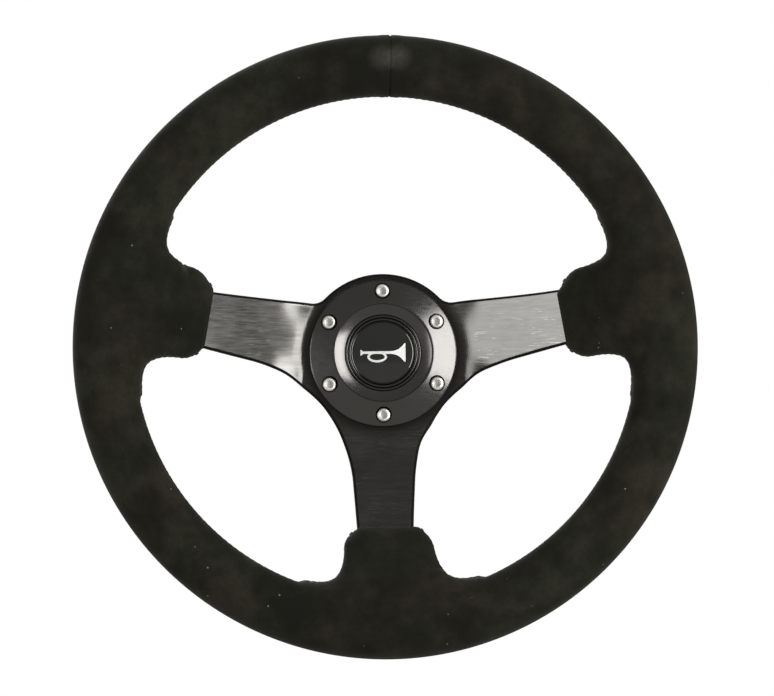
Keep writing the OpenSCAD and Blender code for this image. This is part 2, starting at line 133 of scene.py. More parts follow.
def row(points):
    """Points of the wheel's frame, in millimetres, in the row's frame, in metres."""
    p = np.asarray(points, float).reshape(-1, 3)
    return np.stack([p[:, 0], -p[:, 2], p[:, 1]], 1) * MM


def local(points):
    """The reverse of row()."""
    p = np.asarray(points, float).reshape(-1, 3) / MM
    return np.stack([p[:, 0], p[:, 2], -p[:, 1]], 1)


def add_object(name, data):
    obj = bpy.data.objects.new(name, data)
    scene.collection.objects.link(obj)
    return obj


def discard(obj):
    mesh = obj.data
    bpy.data.objects.remove(obj)
    bpy.data.meshes.remove(mesh)


@contextmanager
def editing(mesh):
    """The mesh as a bmesh, which is written back at the end."""
    bm = bmesh.new()
    bm.from_mesh(mesh)
    yield bm
    bm.to_mesh(mesh)
    bm.free()


def shade_smooth(mesh):
    mesh.polygons.foreach_set("use_smooth", [True] * len(mesh.polygons))


def build(name, verts, faces, smooth=True):
    """A new object from points of the wheel's frame."""
    mesh = bpy.data.meshes.new(name)
    mesh.from_pydata([tuple(v) for v in row(verts)], [], faces)
    mesh.validate()
    with editing(mesh) as bm:
        bmesh.ops.recalc_face_normals(bm, faces=bm.faces)
    if smooth:
        shade_smooth(mesh)
    return add_object(name, mesh)


def coords(mesh):
    co = np.empty(len(mesh.vertices) * 3)
    mesh.vertices.foreach_get("co", co)
    return co.reshape(-1, 3)


def set_coords(mesh, co):
    mesh.vertices.foreach_set("co", np.asarray(co, float).ravel())
    mesh.update()


def points_of(bm):
    return local(np.array([v.co for v in bm.verts]))


def move_verts(bm, points):
    for vert, co in zip(bm.verts, row(points)):
        vert.co = co


def applied(obj):
    """Applies obj's modifiers to its mesh."""
    dg = bpy.context.evaluated_depsgraph_get()
    mesh = bpy.data.meshes.new_from_object(obj.evaluated_get(dg))
    obj.modifiers.clear()
    obj.data = mesh
    return obj


def add_bevel(obj, width, segments, degrees):
    """Rounds edges sharper than that angle, over a width in millimetres."""
    mod = obj.modifiers.new("edges", "BEVEL")
    mod.width = width * MM
    mod.segments = segments
    mod.limit_method = "ANGLE"
    mod.angle_limit = math.radians(degrees)
    return mod


def smooth_min(a, b, k):
    h = np.clip(0.5 + 0.5 * (b - a) / k, 0, 1)
    return b * (1 - h) + a * h - k * h * (1 - h)


def round_max(a, b, r):
    """Distance to the overlap of two regions, with its edge rounded to radius r."""
    a = a + r
    b = b + r
    return np.hypot(np.maximum(a, 0), np.maximum(b, 0)) + np.minimum(np.maximum(a, b), 0) - r


def smoothstep(x, a, b):
    t = np.clip((x - a) / (b - a), 0, 1)
    return t * t * (3 - 2 * t)


# ---- The grip's surface, as a distance in the wheel's frame ----

def spoke_axes(angle, x, y):
    c, s = math.cos(math.radians(angle)), math.sin(math.radians(angle))
    return x * c + y * s, y * c - x * s


def sleeve_front(u):
    return smooth_min(FRONT_S + FRONT_SLOPE * (u - SLEEVE_START), FRONT_TOP, 5)


def sleeve_back(u):
    near_rim = BACK_TOP_S + BACK_TOP_SLOPE * (u - BACK_TOP_U)
    return smooth_min(BACK_S + BACK_SLOPE * (u - SLEEVE_START), near_rim, 4)


def sleeve_outline(sleeve, x, y):
    """Places along and across a sleeve's spoke, and the distance to the sleeve's outline as
    seen from the front, without its blend into the rim."""
    angle, _, end, left, right = sleeve
    u, v = spoke_axes(angle, x, y)
    half, grow, cut, _ = (np.where(v > 0, a, b) for a, b in zip(left, right))
    side = (np.abs(v) - half - grow * (u - SLEEVE_START)) / np.hypot(1, grow)
    corner = (np.abs(v) - u + cut) / math.sqrt(2)
    return u, v, round_max(round_max(end - u, corner, CORNER_R), side, SIDE_R)


def sleeve_distance(sleeve, x, y, s, rho):
    _, blend, _, left, right = sleeve
    u, v, outline = sleeve_outline(sleeve, x, y)
    inset = np.where(v > 0, left[-1], right[-1])
    web = smooth_min(outline, RIM_INNER + inset - rho, blend)
    plan = np.maximum(np.maximum(web, outline - WEB_LENGTH), rho - WEB_OUTER)
    thin = 0.25 * np.maximum(outline, 0)
    front = (s - sleeve_front(u)) * FRONT_COS + thin
    back = (sleeve_back(u) - s) * BACK_COS + thin
    return round_max(plan, np.maximum(front, back), EDGE_R)


def grip_distance(p):
    """Distance to the rim's oval section, joined softly with the three sleeves."""
    x, y, s = p[:, 0], p[:, 1], p[:, 2]
    rho = np.hypot(x, y)
    qr = (rho - GRIP_R) / GRIP_A
    qs = (s - RIM_Z) / GRIP_B
    q = np.hypot(qr, qs) + 1e-9
    d = (q - 1) * q / (np.hypot(qr / GRIP_A, qs / GRIP_B) + 1e-9)
    for sleeve in SLEEVES:
        d = smooth_min(d, sleeve_distance(sleeve, x, y, s, rho), SLEEVE_BLEND)
    return d


def gradient(f, p, h=0.05):
    g = np.empty_like(p)
    for i in range(3):
        step = np.zeros(3)
        step[i] = h
        g[:, i] = (f(p + step) - f(p - step)) / (2 * h)
    return g


def project(p, offset=0.0, rounds=4, reach=3.0):
    """Moves points onto the surface offset from the grip's."""
    for _ in range(rounds):
        g = gradient(grip_distance, p)
        move = ((grip_distance(p) - offset) / np.maximum((g * g).sum(1), 0.2))[:, None] * g
        length = np.linalg.norm(move, axis=1, keepdims=True)
        p = p - move * np.minimum(1, reach / np.maximum(length, 1e-9))
    return p


def unit(v):
    return v / np.maximum(np.linalg.norm(v, axis=1, keepdims=True), 1e-9)


def normals(p):
    return unit(gradient(grip_distance, p))


# ---- Seam lines ----

def resample(p, step):
    """Points about step apart along a line, and their distances along it."""
    d = np.concatenate([[0], np.cumsum(np.linalg.norm(np.diff(p, axis=0), axis=1))])
    n = max(2, int(round(d[-1] / step)))
    t = np.linspace(0, d[-1], n + 1)
    return np.stack([np.interp(t, d, p[:, i]) for i in range(3)], 1), t


def seam_height(x, y):
    """Height of the middle of the grip's edge: the sleeve's middle, easing to the rim's."""
    s = np.full_like(x, RIM_Z)
    for sleeve in SLEEVES:
        u, _, outline = sleeve_outline(sleeve, x, y)
        middle = np.minimum((sleeve_front(u) + sleeve_back(u)) / 2, RIM_Z)
        near = 1 - smoothstep(outline, 3, 26)
        s = s + (middle - s) * near * (u > 80)
    return s


def opening_seam(a0, a1, out):
    """The line along the edge of the grip round one opening, from spoke to spoke, found from
    a point of the opening that lies out from the wheel's centre."""
    middle = math.radians((a0 + a1) / 2)
    centre = out * np.array([math.cos(middle), math.sin(middle)])
    angles = np.linspace(0, 2 * math.pi, 2400, endpoint=False) + middle + math.pi
    rays = np.stack([np.cos(angles), np.sin(angles)], 1)

    def outline(xy):
        s = seam_height(xy[:, 0], xy[:, 1])
        return grip_distance(np.column_stack([xy, s]))

    stride = 2.0
    near, far = np.zeros(len(rays)), np.full(len(rays), np.nan)
    for reach in np.arange(4, 140, stride):
        hit = np.isnan(far) & (outline(centre + rays * reach) < 0)
        far[hit] = reach
        near[hit] = reach - stride
    keep = ~np.isnan(far)
    rays, near, far = rays[keep], near[keep], far[keep]
    for _ in range(14):
        mid = (near + far) / 2
        inside = outline(centre + rays * mid[:, None]) < 0
        far = np.where(inside, mid, far)
        near = np.where(inside, near, mid)
    xy = centre + rays * far[:, None]
    clear = PLATE_HALF_W + 0.6
    for a, sign in ((a0, 1), (a1, -1)):
        u, v = spoke_axes(a, xy[:, 0], xy[:, 1])
        xy = xy[~((sign * v < clear) & (u > 0))]
    # In order round the opening, starting just before the direction of the first spoke
    polar = np.degrees(np.arctan2(xy[:, 1] - centre[1], xy[:, 0] - centre[0]))
    spoke = 90 * np.array([math.cos(math.radians(a0)), math.sin(math.radians(a0))]) - centre
    first = math.degrees(math.atan2(spoke[1], spoke[0]))
    xy = xy[np.argsort((polar - first + 10) % 360)]
    return np.column_stack([xy, seam_height(xy[:, 0], xy[:, 1])])


def top_seam():
    """The line round the grip's section where the cover's ends meet, just right of the top."""
    t = np.linspace(0, 2 * math.pi, 241)
    a = math.radians(TOP_SEAM_ANGLE)
    r = GRIP_R + GRIP_A * np.cos(t)
    return np.column_stack([r * math.cos(a), r * math.sin(a), RIM_Z + GRIP_B * np.sin(t)])


class Seam:
    """A line on the grip with a direction along it, across it and out of the surface."""

    def __init__(self, line, step=0.5):
        self.p, self.t = resample(project(line, rounds=3), step)
        self.n = normals(self.p)
        along = np.gradient(self.p, axis=0)
        self.a = unit(along - (along * self.n).sum(1, keepdims=True) * self.n)
        self.b = np.cross(self.n, self.a)
        self.tree = KDTree(len(self.p))
        for i, q in enumerate(self.p):
            self.tree.insert(q, i)
        self.tree.balance()

    def measure(self, p, reach):
        """For each point: its distance along the seam and across it; nan where it is far."""
        t = np.full(len(p), np.nan)
        b = np.full(len(p), np.nan)
        for i, q in enumerate(p):
            _, j, d = self.tree.find(q)
            if d < reach:
                off = q - self.p[j]
                t[i] = self.t[j] + off @ self.a[j]
                b[i] = off @ self.b[j]
        return t, b

    def at(self, t, b, h):
        """Points t along and b across the seam, h above the surface."""
        t = np.clip(np.asarray(t, float), 0, self.t[-1])
        p, c = (np.stack([np.interp(t, self.t, m[:, i]) for i in range(3)], 1)
                for m in (self.p, self.b))
        q = project(p + unit(c) * np.asarray(b, float)[:, None], rounds=2)
        return q + normals(q) * np.asarray(h, float).reshape(-1, 1)


LACINGS = [Seam(opening_seam(*opening)) for opening in OPENINGS]
TOP_SEAM = Seam(top_seam())


# ---- The grip ----

def rough_grip():
    """Overlapping closed shapes that together fill the grip's outline."""
    verts, faces = [], []
    rings, sides = 120, 20
    for i in range(rings):
        a = 2 * math.pi * i / rings
        for j in range(sides):
            b = 2 * math.pi * j / sides
            r = GRIP_R + GRIP_A * math.cos(b)
            verts.append((r * math.cos(a), r * math.sin(a), RIM_Z + GRIP_B * math.sin(b)))
    for i in range(rings):
        for j in range(sides):
            k, l = (i + 1) % rings, (j + 1) % sides
            faces.append((i * sides + j, k * sides + j, k * sides + l, i * sides + l))
    box = ((0, 1, 2, 3), (7, 6, 5, 4), (0, 4, 5, 1), (1, 5, 6, 2), (2, 6, 7, 3), (3, 7, 4, 0))
    half = 22
    for angle, *_ in SLEEVES:
        c, s = math.cos(math.radians(angle)), math.sin(math.radians(angle))
        base = len(verts)
        for u in (SLEEVE_START + 2.5, 150):
            low, high = float(sleeve_back(u)) + 1, float(sleeve_front(u)) - 1
            for v, height in ((-half, low), (half, low), (half, high), (-half, high)):
                verts.append((u * c - v * s, u * s + v * c, height))
        for f in box:
            faces.append(tuple(base + k for k in f))
    return build("rough_grip", verts, faces)


def edges_of(mesh):
    e = np.empty(len(mesh.edges) * 2, int)
    mesh.edges.foreach_get("vertices", e)
    return e.reshape(-1, 2)


def averaged(values, edges):
    """For each point, the mean of its neighbours' values."""
    total = np.zeros_like(values)
    count = np.zeros(len(values))
    for a, b in ((0, 1), (1, 0)):
        np.add.at(total, edges[:, a], values[edges[:, b]])
        np.add.at(count, edges[:, a], 1)
    count = np.maximum(count, 1)
    return total / (count[:, None] if values.ndim > 1 else count)


def remeshed_grip(name, voxel, offset):
    """A mesh of even quads on the surface offset from the grip's."""
    obj = rough_grip()
    obj.name = name
    mod = obj.modifiers.new("remesh", "REMESH")
    mod.mode = "VOXEL"
    mod.voxel_size = voxel * MM
    applied(obj)
    edges = edges_of(obj.data)
    p = project(local(coords(obj.data)), offset, rounds=5)
    for _ in range(4):
        p = project(0.5 * p + 0.5 * averaged(p, edges), offset, rounds=2)
    set_coords(obj.data, row(p))
    shade_smooth(obj.data)
    return obj


def distance_to_seams(p, reach):
    """How far each point is from the nearest seam, at most reach."""
    d = np.full(len(p), reach)
    for seam in LACINGS + [TOP_SEAM]:
        for i, q in enumerate(p):
            found = seam.tree.find(q)[2]
            if found < d[i]:
                d[i] = found
    return d


def puff(obj, cap):
    """How far each point of the cover comes out when it is inflated while held at its seams,
    at most cap, and how firmly it is held."""
    p0 = coords(obj.data)
    hold = 8.0
    held = np.clip(1 - distance_to_seams(local(p0), hold) / hold, 0, 1)
    group = obj.vertex_groups.new(name="held")
    for i, w in enumerate(held):
        if w > 0:
            group.add([i], float(w), "REPLACE")
    mod = obj.modifiers.new("Cloth", "CLOTH")
    cloth = {"quality": 4, "mass": 0.3, "tension_stiffness": 25, "compression_stiffness": 25,
             "shear_stiffness": 10, "bending_stiffness": 2, "use_pressure": True,
             "uniform_pressure_force": 4, "vertex_group_mass": "held"}
    for setting, value in cloth.items():
        setattr(mod.settings, setting, value)
    mod.settings.effector_weights.gravity = 0
    mod.collision_settings.use_collision = False
    mod.collision_settings.use_self_collision = False
    for f in range(1, 21):
        scene.frame_set(f)
    dg = bpy.context.evaluated_depsgraph_get()
    puffed = obj.evaluated_get(dg).to_mesh()
    p1 = coords(puffed)
    obj.evaluated_get(dg).to_mesh_clear()
    obj.modifiers.clear()
    scene.frame_set(1)
    out = ((p1 - p0) * unit(row(normals(local(p0))) / MM)).sum(1) / MM
    return np.clip(out, -cap, cap), held


def plate_distance(p):
    """Distance from the nearest spoke plate's section, at the ends of the sleeves."""
    best = np.full(len(p), 99.0)
    for angle, *_ in SLEEVES:
        u, v = spoke_axes(angle, p[:, 0], p[:, 1])
        off = (p[:, 2] - PLATE_AT_SLEEVE - (u - SLEEVE_START) * SLOPE) * 0.829
        d = np.hypot(np.maximum(np.abs(v) - PLATE_HALF_W, 0),
                     np.maximum(np.abs(off) - PLATE_HALF_T, 0))
        best = np.where((u > 95) & (u < 108), np.minimum(best, d), best)
    return best


def split_near_seams(mesh, reaches):
    """Cuts the faces that are within each reach of a seam or a plate into smaller ones."""
    with editing(mesh) as bm:
        for reach in reaches:
            p = points_of(bm)
            near = np.minimum(distance_to_seams(p, 9.0), plate_distance(p) + 1) < reach
            bm.verts.ensure_lookup_table()
            picked = set()
            for face in bm.faces:
                if any(near[v.index] for v in face.verts):
                    picked.update(face.edges)
            bmesh.ops.subdivide_edges(bm, edges=list(picked), cuts=1, use_grid_fill=True)
            bm.verts.index_update()


def gauss(x, width):
    return np.exp(-(x / width) ** 2)


def seam_relief(p):
    """How far the sewn surface stands above the plain one."""
    h = np.zeros(len(p))
    for seam in LACINGS:
        t, b = seam.measure(p, 8)
        ok = ~np.isnan(b)
        t, b = t[ok], b[ok]
        # The holes of the two sides alternate
        phase = np.where(b > 0, 0.0, 0.5)
        hole = (t / STITCH - phase + 0.5) % 1 - 0.5
        # The line where the edges meet, in a shallow channel
        r = -1.0 * gauss(b, 0.55) - 0.35 * gauss(b, 2.6)
        # A pit at each hole, and the suede drawn in beside it
        r -= 0.45 * gauss(np.abs(b) - STITCH_REACH, 0.55) * gauss(hole * STITCH, 0.7)
        r -= 0.08 * np.cos(2 * math.pi * hole) * gauss(np.abs(b) - 3.4, 1.5)
        h[ok] += r
    t, b = TOP_SEAM.measure(p, 10)
    ok = ~np.isnan(b)
    b = b[ok]
    # A low welt along the top seam, with a groove down its middle
    h[ok] += 0.25 * (1 - smoothstep(np.abs(b), 4.6, 7.2)) - 0.75 * gauss(b, 0.5)
    # The suede turns in where a plate enters its sleeve
    h -= 1.3 * gauss(plate_distance(p), 0.9)
    return h


def make_grip():
    """The sewn cover: inflated, then laid on the grip's surface with its seams sunk in."""
    voxel = 4.0
    shrink = 0.7
    obj = remeshed_grip("suede_cover_sewn", voxel, -shrink)
    edges = edges_of(obj.data)
    rise = np.zeros(len(obj.data.vertices))
    swell, held = puff(obj, 1.0)
    rise = (swell - np.median(swell[held == 0])) * (1 - held)
    for _ in range(3):
        rise = averaged(rise, edges)
    attribute = obj.data.attributes.new("rise", "FLOAT", "POINT")
    attribute.data.foreach_set("value", rise)
    mod = obj.modifiers.new("finer", "SUBSURF")
    mod.levels = 1
    applied(obj)
    split_near_seams(obj.data, (5.5, 3.6))
    rise = np.empty(len(obj.data.vertices))
    obj.data.attributes["rise"].data.foreach_get("value", rise)
    p = project(local(coords(obj.data)), 0.0, rounds=4)
    p = p + normals(p) * (rise + seam_relief(p))[:, None]
    set_coords(obj.data, row(p))
    obj.data.attributes.remove(obj.data.attributes["rise"])
    obj.vertex_groups.clear()
    shade_smooth(obj.data)
    return obj


grip = make_grip()
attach(grip, "wheel")
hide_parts("suede_cover")

foam = remeshed_grip("foam_core", 5.0, -SUEDE_T - 0.1)
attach(foam, "wheel")
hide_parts("rim_foam")


# ---- Lacing ----

def tubes(name, paths, radius, sides=8):
    """Closed round tubes along paths, an array of shape (tubes, points, 3)."""
    paths = np.asarray(paths, float)
    count, k, _ = paths.shape
    along = np.gradient(paths, axis=1)
    along /= np.linalg.norm(along, axis=2, keepdims=True)
    side = np.cross(along, np.broadcast_to(np.array([0.31, 0.52, 0.80]), paths.shape))
    side /= np.maximum(np.linalg.norm(side, axis=2, keepdims=True), 1e-9)
    up = np.cross(side, along)
    a = np.linspace(0, 2 * math.pi, sides, endpoint=False)
    ring = side[:, :, None] * np.cos(a)[:, None] + up[:, :, None] * np.sin(a)[:, None]
    r = np.full(k, radius)
    r[0] = r[-1] = radius * 0.55
    verts = paths[:, :, None] + ring * r[None, :, None, None]
    faces = []
    for n in range(count):
        base = n * k * sides
        for i in range(k - 1):
            for j in range(sides):
                q = base + i * sides
                l = (j + 1) % sides
                faces.append((q + j, q + l, q + sides + l, q + sides + j))
        faces.append(tuple(base + j for j in range(sides)))
        faces.append(tuple(base + (k - 1) * sides + j for j in reversed(range(sides))))
    return build(name, verts.reshape(-1, 3), faces)


def joined(name, parts):
    """One object from several, with room for two materials."""
    bm = bmesh.new()
    for part in parts:
        bm.from_mesh(part.data)
        discard(part)
    mesh = bpy.data.meshes.new(name)
    mesh.materials.append(None)
    mesh.materials.append(None)
    bm.to_mesh(mesh)
    bm.free()
    shade_smooth(mesh)
    return add_object(name, mesh)


def lacing():
    """Slanting stitches from each side to the seam's middle, and a knot near each end."""
    legs, knots = [], []
    run = np.array([0.0, 0.10, 0.3, 0.62, 0.88, 1.0])
    lift = np.array([-1.2, -0.76, -0.62, -0.56, -0.76, -1.2])
    knot_in, knot_aside, knot_size = 3.4, 1.4, 0.36
    for seam in LACINGS:
        count = int(seam.t[-1] / STITCH)
        for sign, phase in ((1, 0.0), (-1, 0.5)):
            k = np.arange(1, count) + phase
            jitter = rng.normal(0, 0.12, (len(k), 1))
            t = (k[:, None] + 0.02 + 0.46 * run) * STITCH + jitter
            b = sign * (STITCH_REACH - 2.45 * run) + rng.normal(0, 0.06, (len(k), 1))
            h = np.broadcast_to(lift, t.shape)
            q = seam.at(t.ravel(), b.ravel(), h.ravel())
            legs.append(q.reshape(len(k), len(run), 3))
        for t in (knot_in, seam.t[-1] - knot_in):
            w = np.linspace(0, 2 * math.pi, 41)
            x = (np.sin(w) + 2 * np.sin(2 * w)) * knot_size
            y = (np.cos(w) - 2 * np.cos(2 * w)) * knot_size
            z = -0.1 - 0.3 * np.sin(3 * w)
            knots.append(seam.at(t + x, y + knot_aside, z))
    return joined("lacing_stitches", [
        tubes("legs", np.concatenate(legs), 0.42),
        tubes("knots", np.array(knots), 0.32),
    ])


stitches = lacing()
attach(stitches, "wheel")
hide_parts("lacing_thread")


# ---- Turned and moulded pieces ----

def rounded(points, radii, steps=6):
    """A closed outline in (radius, height) with its corners rounded."""
    pts = [np.array(p, float) for p in points]
    out = []
    for i, (p, r) in enumerate(zip(pts, radii)):
        a, b = pts[i - 1] - p, pts[(i + 1) % len(pts)] - p
        la, lb = np.linalg.norm(a), np.linalg.norm(b)
        if r == 0 or la < 1e-6 or lb < 1e-6:
            out.append(p)
            continue
        cut = min(r, 0.45 * la, 0.45 * lb)
        p0, p1 = p + a / la * cut, p + b / lb * cut
        for t in np.linspace(0, 1, steps + 1):
            out.append((1 - t) ** 2 * p0 + 2 * t * (1 - t) * p + t ** 2 * p1)
    return out


def lathe(name, outline, steps, centre=(0, 0)):
    """Turns a closed outline of (radius, height) points about the axis through centre."""
    verts, faces, rings = [], [], []
    for r, z in outline:
        if r < 1e-6:
            rings.append([len(verts)])
            verts.append((centre[0], centre[1], z))
        else:
            rings.append(list(range(len(verts), len(verts) + steps)))
            for i in range(steps):
                a = 2 * math.pi * i / steps
                verts.append((centre[0] + r * math.cos(a), centre[1] + r * math.sin(a), z))
    for p, q in zip(rings, rings[1:] + rings[:1]):
        if len(p) == 1 and len(q) == 1:
            continue
        for i in range(steps):
            j = (i + 1) % steps
            if len(p) == 1:
                faces.append((p[0], q[i], q[j]))
            elif len(q) == 1:
                faces.append((p[i], q[0], p[j]))
            else:
                faces.append((p[i], q[i], q[j], p[j]))
    return build(name, verts, faces)


def cut(obj, tool, kind="DIFFERENCE"):
    """Cuts tool out of obj, or joins it on, and removes tool."""
    mod = obj.modifiers.new("cut", "BOOLEAN")
    mod.operation = kind
    mod.solver = "EXACT"
    mod.object = tool
    applied(obj)
    discard(tool)


def smooth_by_angle(obj, degrees):
    """Smooth shading with sharp edges where faces meet at more than that angle."""
    limit = math.radians(degrees)
    with editing(obj.data) as bm:
        for face in bm.faces:
            face.smooth = True
        for edge in bm.edges:
            edge.smooth = len(edge.link_faces) == 2 and edge.calc_face_angle(0) < limit


def cad_plate(u):
    """Height and slope of the middle of the plate as the CAD solid has it, along a spoke."""
    r = CAD_BEND_R
    run = r * math.sin(math.radians(SPOKE_SLOPE))
    rise = r * (1 - math.cos(math.radians(SPOKE_SLOPE)))
    bend = np.clip(u - CAD_BEND_U, 0, run)
    arc = r - np.sqrt(np.maximum(r ** 2 - bend ** 2, 0))
    straight = rise + (u - CAD_BEND_U - run) * SLOPE
    height = PLATE_MID + np.where(u < CAD_BEND_U + run, arc, straight)
    return height, bend / np.sqrt(r ** 2 - bend ** 2)


def cad_copy(node):
    """A copy of a CAD node's mesh, without its stored normals."""
    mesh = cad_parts[node].data.copy()
    mesh.attributes.remove(mesh.attributes["custom_normal"])
    return mesh


def bevelled_plate():
    """A copy of the CAD plate with rounded edges, its edges in the second material, a painted
    shade.
    """
    mesh = cad_copy("spoke_frame")
    mesh.materials.clear()
    for _ in range(2):
        mesh.materials.append(None)
    with editing(mesh) as bm:
        bmesh.ops.remove_doubles(bm, verts=bm.verts, dist=1e-6)
        bmesh.ops.dissolve_limit(bm, angle_limit=math.radians(0.1), verts=bm.verts,
                                 edges=bm.edges)
        for face in bm.faces:
            # Painted shade: faces across the plate's edges take the near-black second material,
            # standing in for the dark they reflect
            face.material_index = int(abs(face.normal.y) < 0.3)
    plate = add_object("spoke_plate", mesh)
    mod = add_bevel(plate, 1.5, 3, 40)
    mod.use_clamp_overlap = False
    # The rounded edges take the same painted shade
    mod.material = 1
    return applied(plate)


def slice_at(bm, geom, normal, distance):
    """Adds edges where geom crosses a plane that lies that far along its normal."""
    bmesh.ops.bisect_plane(bm, geom=geom, dist=1e-7, plane_co=normal * distance * MM,
                           plane_no=normal)


def cut_plate(bm):
    """Cuts the plate across each spoke, closely at the crease, and along it."""
    at_crease = [41.5, 43, 44, 44.7, 45.3, 46, 46.7, 47.5, 48.5]
    for angle, *_ in SLEEVES:
        a = math.radians(angle)
        along = Vector((math.cos(a), 0, math.sin(a)))
        across = Vector((-math.sin(a), 0, math.cos(a)))
        for u in at_crease + list(np.arange(50, 98, 2)):
            slice_at(bm, bm.verts[:] + bm.edges[:] + bm.faces[:], along, u)
        for v in np.arange(-27, 28, 3):
            near = [f for f in bm.faces if 36 < f.calc_center_median() @ along / MM < 96]
            geom = {g for f in near for g in (*f.verts, *f.edges, f)}
            slice_at(bm, list(geom), across, v)


def pressed(p):
    """Points of the CAD plate, moved to where the pressed plate has them."""
    # Which spoke each point belongs to, and its place along and across that spoke
    uv = np.array([spoke_axes(angle, p[:, 0], p[:, 1]) for angle, *_ in SLEEVES])
    which = uv[:, 0].argmax(0)
    u, v = uv[which, :, np.arange(len(p))].T
    rho = np.hypot(p[:, 0], p[:, 1])
    # The distance past the disc: round it at first, then straight along the spoke
    w = smoothstep(u, 46, 62)
    d = (1 - w) * rho + w * u - HUB_DISC_R
    d = 0.5 * (d + np.sqrt(d * d + 0.8))
    ease = np.exp(-d / CREASE_LENGTH)
    middle = PLATE_MID + SLOPE * (d - CREASE_LOSS * CREASE_LENGTH * (1 - ease))
    # Each point keeps its place in the plate's thickness
    height, slope = cad_plate(u)
    off = np.clip((p[:, 2] - height) / np.hypot(1, slope), -PLATE_HALF_T, PLATE_HALF_T)
    new = middle + off * np.hypot(1, SLOPE * (1 - CREASE_LOSS * ease) * np.minimum(d, 1))
    # The CAD's own height stays on the disc and far out on the spokes
    w = np.where(rho < 42, 1, smoothstep(u, 58, 66))
    p[:, 2] = w * p[:, 2] + (1 - w) * new
    # The edges move sideways, the middle of a spoke doesn't
    trim = np.array(EDGE_TRIM)[which, np.where(v > 0, 0, 1)]
    shift = trim[:, 0] * np.exp((50 - u) / trim[:, 1]) + trim[:, 2] * smoothstep(u, 50, 95)
    shift *= smoothstep(u, 40, 56) * smoothstep(np.abs(v), 5, 16) * np.sign(v)
    angle = np.radians([SLEEVES[i][0] for i in which])
    p[:, 0] -= shift * np.sin(angle)
    p[:, 1] += shift * np.cos(angle)
    return p


def make_spokes():
    """The spoke plate, with a crease that follows the hub's disc as in a pressed plate."""
    plate = bevelled_plate()
    with editing(plate.data) as bm:
        cut_plate(bm)
        move_verts(bm, pressed(points_of(bm)))
        bmesh.ops.recalc_face_normals(bm, faces=bm.faces)
    shade_smooth(plate.data)
    plate.modifiers.new("flat_faces", "WEIGHTED_NORMAL").weight = 100
    return plate


def second_material(mesh, chosen):
    """Gives the second material to the faces whose points are all chosen."""
    for polygon in mesh.polygons:
        polygon.material_index = int(all(chosen[i] for i in polygon.vertices))


def bolt_places():
    turns = [math.radians(30 + 60 * i) for i in range(6)]
    return [(BOLT_CIRCLE_R * math.cos(a), BOLT_CIRCLE_R * math.sin(a)) for a in turns]


def make_trim_ring():
    """A slightly crowned cone that falls outwards, and a funnel down to the horn."""
    edge, crest, foot = np.array([41.3, 59.6]), np.array([28.6, 64.4]), np.array([21.8, 61.4])
    t = np.linspace(0, 1, 25)[:, None]
    cone = edge + (crest - edge) * t + np.array([0.36, 0.93]) * 0.08 * 4 * t * (1 - t)
    t = np.linspace(0, 1, 13)[:, None]
    funnel = crest + (foot - crest) * t - np.array([-0.4, 0.91]) * 0.25 * 4 * t * (1 - t)
    outline = [(21.8, 56), (41.75, 56), (41.75, 58.9), (41.6, 59.35)]
    outline += [tuple(p) for p in cone] + [(28.2, 64.48), (27.8, 64.4)]
    outline += [tuple(p) for p in funnel[2:]]
    ring = lathe("hub_trim_ring", outline, 256)
    for x, y in bolt_places():
        for low, high, r, steps in ((57.99, 80, COUNTERBORE_R, 48), (50, 70, 2.75, 32)):
            bore = [(0, low), (r, low), (r, high), (0, high)]
            cut(ring, lathe("bore", bore, steps, (x, y)))
    # Painted shade: the counterbore walls take the near-black second material, standing in for
    # shade in these recesses
    p = local(coords(ring.data))
    off = np.min([np.hypot(p[:, 0] - x, p[:, 1] - y) for x, y in bolt_places()], axis=0)
    second_material(ring.data, off < COUNTERBORE_R + 0.1)
    smooth_by_angle(ring, 28)
    add_bevel(ring, 0.22, 2, 40).harden_normals = True
    return ring


def make_bolts():
    """Socket-head bolts, each turned by chance, with a chamfered hexagonal socket."""
    parts = []
    outline = rounded([(0, 46), (2.0, 46), (2.45, 46.5), (2.45, 58), (3.95, 58), (3.95, 62.1),
                       (0, 62.4)], [0, 0.2, 0.1, 0.1, 0.2, 1.8, 0])
    socket_r, socket_foot, socket_tip = 2.31, 59.5, 59.0
    for x, y in bolt_places():
        bolt = lathe("bolt", outline, 48, (x, y))
        turn = random.uniform(0, 60)
        corners = [math.radians(turn + 60 * i) for i in range(6)]
        verts = [(x + socket_r * math.cos(a), y + socket_r * math.sin(a), s)
                 for s in (socket_foot, 64) for a in corners] + [(x, y, socket_tip)]
        faces = [(i, (i + 1) % 6, (i + 1) % 6 + 6, i + 6) for i in range(6)]
        faces += [tuple(range(6, 12))] + [(12, (i + 1) % 6, i) for i in range(6)]
        cut(bolt, build("socket", verts, faces, smooth=False))
        chamfer = lathe("chamfer", [(0, 61.75), (2.1, 61.75), (3.1, 62.6), (0, 62.6)], 48, (x, y))
        cut(bolt, chamfer)
        # Painted shade: the socket walls and chamfer take a darker steel, standing in for shade in
        # the recess
        p = local(coords(bolt.data))
        near = np.hypot(p[:, 0] - x, p[:, 1] - y) < 2.4
        second_material(bolt.data, near & (p[:, 2] > 58.9) & (p[:, 2] < 61.9))
        smooth_by_angle(bolt, 32)
        parts.append(bolt)
    bolts = joined("hub_bolts", parts)
    smooth_by_angle(bolts, 32)
    return bolts


plate = make_spokes()
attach(plate, "wheel")
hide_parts("spoke_frame")

trim = make_trim_ring()
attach(trim, "wheel")
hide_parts("trim_ring")

bolts = make_bolts()
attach(bolts, "wheel")
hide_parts("wheel_bolts")


def bead(centre, half_w, height):
    """The top of a round bead, from its outside inwards."""
    t = np.linspace(0.96, -0.96, 11)
    return [(centre + half_w * a, BEZEL_S + height * math.sqrt(1 - a * a)) for a in t]


